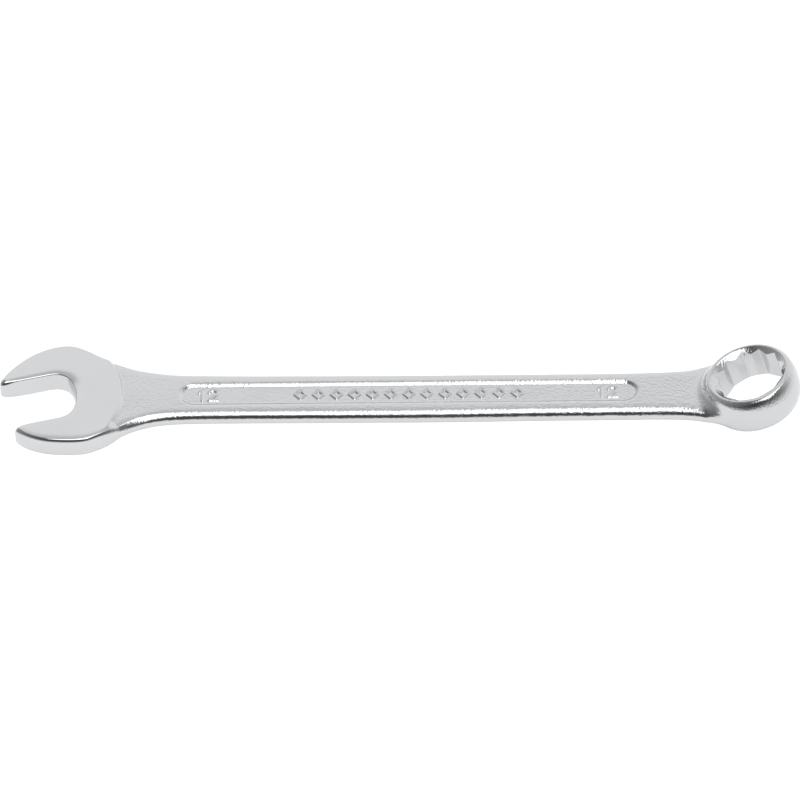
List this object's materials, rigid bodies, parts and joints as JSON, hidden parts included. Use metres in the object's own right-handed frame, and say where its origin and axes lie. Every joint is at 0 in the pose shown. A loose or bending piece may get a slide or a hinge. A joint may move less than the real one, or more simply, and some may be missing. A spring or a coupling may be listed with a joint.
{
  "type": "combination wrench",
  "caption": "Flat forged combination wrench with open jaws at a slant on one end and a raised, tilted twelve-point ring on the other.",
  "frame": {"origin": "middle of the bottom of the wrench's box, where the ring's lower rim would meet a bench with the shank held level", "axes": "+X from the open jaws to the ring, along the shank; +Y across the flat of the shank; +Z out of the face with the raised size numbers, the side to which the ring is raised"},
  "size_m": [0.1566, 0.0268, 0.0118],
  "materials": {
    "polished_chrome": "polished chrome plating over drop-forged steel",
    "satin_chrome": "satin chrome plating with the fine grain of the forging under it"
  },
  "bodies": {
    "root": {"open_end_head": "polished_chrome", "shank": "satin_chrome", "ring_head": "polished_chrome", "size_mark_open_end": "satin_chrome", "size_mark_ring_end": "satin_chrome", "grade_mark_row": "satin_chrome"}
  },
  "joints": []
}
